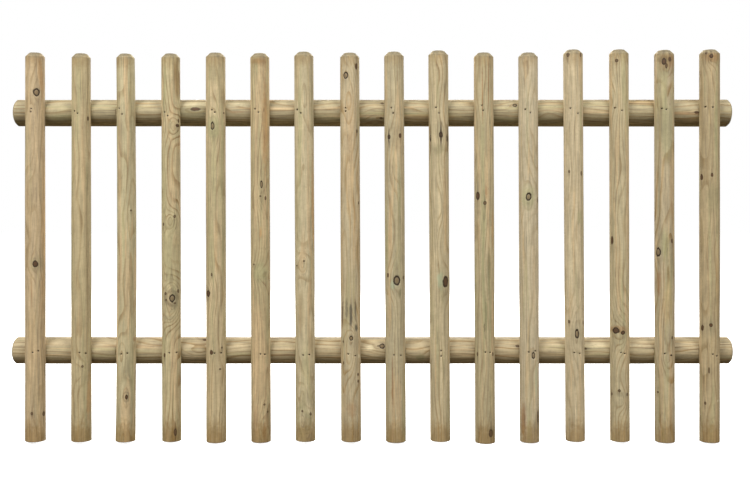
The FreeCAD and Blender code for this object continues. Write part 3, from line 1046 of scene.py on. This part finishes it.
def pales() -> list[Pale]:
    """Gives the sixteen pales from left to right, each with the knots and stains of its own branch of timber.

    Returns:
        The pales, not yet built.
    """
    woods = [
        (Grain((9, -6), "#baa480", 0.2, 0.8, 0.5), 1.7,
         [(884, 11, 15, 19, RING), (453, 8, 13, 15, EYE), (77, 0, 6, 8, PIN), (74, 23, 8, 12, PIN),
          (640, -4, 26, 60, GHOST), (140, 16, 12, 40, GHOST)],
         [(920, 16, 130, 10, HEART, 0.9), (520, 20, 620, 12, HEART, 0.6), (380, 0, 95, 4, RUST, 0.7),
          (120, 10, 200, 20, GREY, 0.4), (760, -12, 250, 14, SALT, 0.4), (453, 8, 46, 24, MOSS, 0.5)]),
        (Grain((-8, 2), "#b6a57e", 0.6, 0.4, 0.42), 12.3,
         [(195, 9, 6, 6, PIN), (819, 21, 6, 10, PIN), (180, 1, 20, 18, DOME), (560, -3, 22, 70, GHOST)],
         [(600, -16, 700, 16, SALT, 0.5), (112, 21, 150, 9, HEART, 0.9), (700, 10, 400, 12, PINK, 0.6),
          (300, 2, 160, 10, PINK, 0.5)]),
        (Grain((6, 2), "#b9ac86", 0.4, 0.7, 0.55), 23.9,
         [(587, 17, 5, 5, PIN), (118, 8, 7, 11, EYE), (119, 7, 15, 26, RIND), (8, 0, 28, 30, DOME),
          (225, -4, 18, 30, DOME), (780, -6, 20, 80, GHOST)],
         [(262, 22, 18, 5, RUST, 0.9), (133, 22, 58, 5, RUST, 0.8), (700, -8, 420, 9, PINK, 0.8),
          (420, 6, 380, 8, PINK, 0.8), (560, -18, 300, 10, SALT, 0.5), (850, 12, 200, 10, SALT, 0.5)]),
        (Grain((-8, 4), "#bbac84", 0.6, 0.5, 0.7), 31.1,
         [(813, 21, 5, 10, TIGHT), (801, 19, 10, 8, TIGHT), (572, 13, 6, 8, PIN), (552, -15, 5, 8, PIN),
          (368, 4, 33, 38, RIND), (366, 7, 13, 19, RING), (378, -9, 6, 7, PIN), (384, 19, 6, 9, PIN),
          (354, 12, 6, 5, PIN), (362, -8, 5, 6, PIN), (223, -13, 6, 10, TIGHT), (29, 13, 8, 18, PIN),
          (318, 0, 14, 9, DOME), (800, 8, 16, 16, BURL), (560, 0, 16, 14, BURL), (366, 5, 22, 26, DOME)],
         [(900, -8, 160, 8, SALT, 0.8), (870, 8, 180, 7, PINK, 0.8), (780, 18, 120, 8, HEART, 0.8),
          (318, 0, 14, 16, GREY, 0.8), (350, -4, 90, 34, GREY, 0.5), (640, -14, 330, 14, SALT, 0.4)]),
        (Grain((-20, -6), "#bfac85", 0.6, 0.3, 0.5), 43.7,
         [(799, -4, 9, 18, RING), (426, -7, 4, 8, PIN), (378, -17, 14, 15, EYE), (230, -8, 8, 12, TIGHT),
          (833, 22, 5, 5, PIN), (242, 17, 5, 5, PIN), (188, 13, 5, 5, PIN), (792, 4, 20, 26, DOME)],
         [(935, 0, 80, 34, MOSS, 0.5), (795, -2, 80, 34, SALT, 0.9), (378, -23, 60, 8, BARK_AND_SHADE, 0.8),
          (500, 3, 190, 9, HEART, 0.4), (600, -14, 300, 10, SALT, 0.7), (660, 12, 300, 10, SALT, 0.5)]),
        (Grain((10, 6), "#b4a47c", 0.3, 0.8, 0.7, late="#8d7450"), 57.1,
         [(652, 6, 6, 18, RING), (623, 3, 5, 5, PIN), (618, 15, 5, 10, PIN), (451, -14, 5, 5, PIN),
          (430, 14, 9, 12, GHOST), (99, 11, 5, 5, PIN), (80, 18, 5, 5, PIN), (966, 0, 22, 12, DOME),
          (424, 0, 24, 14, DOME), (618, 6, 18, 16, DOME), (46, 6, 26, 30, DOME)],
         [(800, 15, 290, 18, HEART, 1.0), (530, 4, 32, 6, HEART, 1.2), (963, 0, 20, 44, RUST, 0.8),
          (974, 0, 7, 36, BARK_AND_SHADE, 0.5), (200, 0, 380, 44, PINK, 0.9), (840, 12, 14, 3, BARK_AND_SHADE, 0.9),
          (60, -8, 90, 22, RUST, 0.4), (432, 2, 66, 40, SALT, 0.9), (34, 10, 60, 10, RUST, 0.9)]),
        (Grain((-3, -12), "#bdae8a", 0.6, 0.3, 0.35), 61.3,
         [(460, 0, 5, 5, PIN), (448, -18, 5, 5, PIN), (83, -6, 5, 6, PIN), (75, 14, 6, 8, PIN),
          (696, 0, 8, 12, GHOST), (868, 0, 18, 40, DOME), (128, -4, 18, 26, DOME), (58, 2, 22, 20, BURL),
          (452, -4, 16, 16, BURL)],
         [(500, 10, 900, 9, PINK, 0.9), (560, 20, 420, 8, HEART, 1.0), (445, 19, 22, 9, SALT, 0.9),
          (620, -12, 420, 16, SALT, 0.4), (850, 20, 200, 7, MOSS, 0.5)]),
        (Grain((-7, 8), "#b8a886", 0.4, 0.5, 0.65, late="#9a7f52"), 73.9,
         [(927, -10, 12, 16, RING), (950, 17, 8, 15, TIGHT), (787, 18, 5, 8, PIN), (606, 21, 5, 8, PIN),
          (266, 2, 9, 11, RING), (257, -18, 5, 5, PIN), (203, -17, 4, 8, PIN), (174, 18, 5, 8, TIGHT),
          (157, 18, 5, 8, TIGHT), (262, 2, 20, 24, DOME), (208, -2, 20, 30, DOME), (866, 0, 24, 34, DOME),
          (760, -2, 14, 44, GHOST)],
         [(800, 0, 260, 30, PINK, 0.7), (326, -18, 90, 6, BARK_AND_SHADE, 1.0), (328, 1, 84, 9, STAIN_AND_SHADE, 1.3),
          (292, 11, 26, 9, STAIN_AND_SHADE, 1.3), (340, -9, 60, 9, STAIN_AND_SHADE, 1.0), (335, 11, 60, 5, STAIN_AND_SHADE, 1.0),
          (220, 17, 14, 5, PALE, 1.2), (87, 2, 56, 30, RUST, 0.6), (540, 10, 260, 12, HEART, 0.4)]),
        (Grain((18, -8), "#b4a684", 0.5, 0.5, 0.5), 83.3,
         [(772, -14, 7, 12, WHORL), (775, 14, 8, 12, TIGHT), (424, -18, 6, 12, TIGHT),
          (411, 4, 16, 23, RING), (418, 20, 5, 8, PIN), (690, 2, 20, 36, DOME)],
         [(378, 8, 34, 6, MOSS, 1.0), (400, -2, 30, 14, COPPER, 1.0), (150, -8, 190, 5, RUST, 0.9),
          (110, 6, 160, 20, PINK, 0.8), (775, 0, 80, 34, GREY, 0.7), (620, 10, 220, 10, SALT, 0.6),
          (520, -10, 200, 10, HEART, 0.4)]),
        (Grain((-13, 4), "#bcac88", 0.4, 0.3, 0.5), 97.7,
         [(777, 4, 9, 14, WHORL), (769, -22, 5, 18, WHORL), (769, 21, 6, 18, WHORL), (408, 14, 15, 28, EYE),
          (600, 2, 20, 34, DOME), (930, 0, 20, 40, GHOST)],
         [(741, 0, 34, 32, MOSS, 0.7), (790, 0, 60, 36, GREY, 0.5), (410, 5, 54, 20, COPPER, 1.1),
          (400, 8, 110, 20, MOSS, 0.5), (600, 12, 300, 10, HEART, 0.5), (220, -6, 260, 12, SALT, 0.5)]),
        (Grain((15, 4), "#b2a37f", 0.5, 0.6, 0.5), 103.1,
         [(624, -18, 10, 20, EYE), (606, -1, 8, 10, PIN), (584, -18, 8, 9, GHOST), (225, -20, 5, 10, PIN),
          (225, 18, 5, 10, PIN), (27, 12, 11, 19, PIN), (450, 4, 14, 30, GHOST)],
         [(883, -6, 190, 4, RUST, 1.0), (908, 9, 140, 4, RUST, 1.0), (636, 0, 42, 6, RUST, 0.9),
          (400, -4, 500, 9, SALT, 0.9), (320, 1, 150, 7, MOSS, 1.4), (430, 7, 150, 7, MOSS, 1.2),
          (540, 16, 140, 7, HEART, 0.8), (290, -3, 45, 3, BARK_AND_SHADE, 0.9), (25, -15, 35, 3, BARK_AND_SHADE, 0.9),
          (30, 12, 40, 20, GREY, 0.9), (140, 14, 180, 10, SALT, 0.5)]),
        (Grain((-12, -14), "#bfb090", 0.3, 0.5, 0.35), 113.9,
         [(621, -4, 13, 19, RING), (613, 19, 4, 12, PIN), (222, 7, 9, 16, RING), (67, 18, 5, 30, PIN),
          (945, -6, 18, 36, GHOST), (618, -3, 20, 34, DOME)],
         [(621, -4, 76, 32, SALT, 0.9), (58, -17, 110, 14, RUST, 1.1), (160, 13, 110, 8, COPPER, 0.8),
          (65, 19, 50, 8, BARK_AND_SHADE, 0.6), (420, 8, 320, 10, PINK, 0.6), (800, -6, 240, 10, SALT, 0.4)]),
        (Grain((15, -10), "#c2b18e", 0.3, 0.4, 0.3), 127.3,
         [(979, -16, 8, 10, PIN), (979, 15, 5, 10, PIN), (685, -15, 5, 8, PIN), (680, 15, 5, 12, PIN),
          (307, -17, 6, 8, PIN), (277, 1, 10, 22, RING), (305, 18, 4, 10, PIN), (262, -2, 20, 40, DOME)],
         [(570, 10, 46, 16, SALT, 0.8), (280, 0, 90, 30, GREY, 0.5), (480, -12, 300, 12, PALE, 0.6),
          (150, 8, 200, 10, PINK, 0.5)]),
        (Grain((-16, 0), "#b9aa86", 0.4, 0.6, 0.55), 137.9,
         [(964, -11, 8, 8, PIN), (512, -21, 8, 20, TIGHT), (285, -14, 16, 15, EYE), (280, 2, 9, 10, EYE),
          (134, -7, 6, 8, PIN), (124, -22, 5, 8, PIN), (124, 13, 5, 8, PIN), (104, -10, 8, 10, GHOST),
          (700, 2, 20, 50, GHOST), (262, 0, 24, 26, DOME), (108, 0, 18, 16, DOME),
          (860, -16, 24, 40, DOME)],
         [(285, -2, 110, 36, MOSS, 0.5), (288, -8, 24, 34, RUST, 0.8), (124, 0, 20, 40, GREY, 0.8),
          (600, 15, 500, 12, PINK, 0.8), (440, -6, 200, 9, HEART, 0.4)]),
        (Grain((3, 6), "#b0a080", 0.6, 0.5, 0.8, ring=4.6), 149.3,
         [(961, -7, 10, 17, EYE), (967, 7, 7, 12, TIGHT), (950, -2, 6, 12, PIN), (955, 2, 22, 20, DOME),
          (482, -20, 13, 22, RING), (510, 12, 6, 12, TIGHT), (267, 12, 5, 8, PIN), (223, 9, 5, 5, PIN),
          (129, -21, 5, 5, PIN), (395, 0, 24, 100, DOME), (285, 3, 20, 34, DOME), (212, -2, 17, 16, DOME)],
         [(962, 2, 60, 40, RUST, 0.7), (968, -6, 24, 20, STAIN_AND_SHADE, 0.8), (790, 0, 190, 42, SALT, 0.8),
          (800, -4, 130, 40, GREY, 0.7), (500, -6, 100, 26, SALT, 1.0), (405, -17, 80, 10, RUST, 0.9),
          (446, 9, 90, 26, MOSS, 0.7), (640, 10, 240, 12, HEART, 0.5), (130, 8, 220, 12, HEART, 0.4),
          (350, 0, 120, 26, HEART, 0.4)]),
        (Grain((14, -5), "#af9c77", 0.6, 0.5, 0.6, late="#8d7750"), 157.7,
         [(975, -4, 9, 10, EYE), (983, -15, 6, 6, PIN), (968, 0, 20, 10, DOME), (671, -23, 8, 15, TIGHT),
          (676, -2, 6, 10, TIGHT), (291, -22, 8, 15, TIGHT), (299, -5, 8, 10, TIGHT), (185, -9, 4, 15, PIN),
          (102, -17, 5, 8, PIN)],
         [(620, 0, 100, 40, MOSS, 0.6), (974, 0, 34, 40, RUST, 0.7), (108, 13, 8, 6, PALE, 1.2),
          (820, 8, 260, 14, SALT, 0.6), (400, 12, 240, 14, HEART, 0.5), (295, -8, 60, 34, GREY, 0.6)]),
    ]
    row = timber(Pale, [f"pale_{number:02d}" for number in range(1, len(woods) + 1)], woods)
    row[2].bow = THIRD_PALE_BOW
    return row


def rails(row: list[Pale]) -> list[Rail]:
    """Gives the two rails, each with a seat for every pale.

    Args:
        row: the pales that sit on them.

    Returns:
        The rails, not yet built.
    """
    woods = [
        (Grain((20, -4), "#a79977", 0.4, 0.4, 0.66, ring=5.2, slant=9, checks=0.34), 211.3,
         [(466, -6, 9, 24, TIGHT), (930, 8, 34, 30, DOME), (470, -4, 24, 40, DOME), (940, -21, 6, 8, PIN),
          (937, 16, 5, 8, PIN), (1277, -16, 9, 10, RING), (1365, 6, 26, 34, DOME), (1738, 2, 6, 12, TIGHT),
          (240, 4, 22, 40, DOME)],
         [(466, 0, 130, 60, MOSS, 0.7), (575, 0, 60, 4, RUST, 0.9), (1700, 4, 180, 7, RUST, 0.7),
          (500, -16, 260, 14, PALE, 0.6), (1050, 12, 200, 16, HEART, 0.5), (1240, 4, 160, 18, GREY, 0.5),
          (140, 14, 160, 20, SALT, 0.6)]),
        (Grain((-17, 6), "#b09f7c", 0.3, 0.4, 0.68, ring=5.6, slant=-8, checks=0.34), 223.9,
         [(479, 0, 30, 34, DOME), (491, -29, 8, 14, TIGHT), (942, -15, 12, 13, RING), (932, -15, 4, 5, PIN),
          (1287, -15, 6, 11, PIN), (1459, -9, 5, 6, PIN), (1600, 8, 24, 50, DOME), (1030, 6, 28, 30, DOME)],
         [(1039, 12, 30, 22, MOSS, 1.0), (910, -12, 26, 12, PALE, 0.9), (300, -14, 260, 10, HEART, 0.5),
          (700, 6, 240, 7, RUST, 0.5), (1200, 8, 300, 8, RUST, 0.5), (1500, -16, 260, 14, PALE, 0.6),
          (1720, 12, 130, 16, GREY, 0.6)]),
    ]
    pair = timber(Rail, ["rail_upper", "rail_lower"], woods)
    for rail in pair:
        rail.seat_y = row[0].seat
        for pale in row:
            height = rail.z - pale.foot
            half = pale.radius_at(height) + rail.clearance
            middle = pale.axis_at(height) - pale.bow
            rail.seats.append((middle - half, middle + half))
    return pair


def main() -> None:
    logging.basicConfig(level=logging.INFO, format="%(message)s")
    finish = PineFinish()
    row = pales()
    pair = rails(row)
    for stick in [*pair, *row]:
        stick.build(finish)
    steel = NailFinish().material()
    for pale in row:
        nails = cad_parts["nails_" + pale.node]
        for slot in nails.material_slots:
            slot.material = steel
        log.info("%s: %d nails", nails.name, len(pale.nails))
    Studio().build(pair[0].y)


if __name__ == "__main__":
    main()
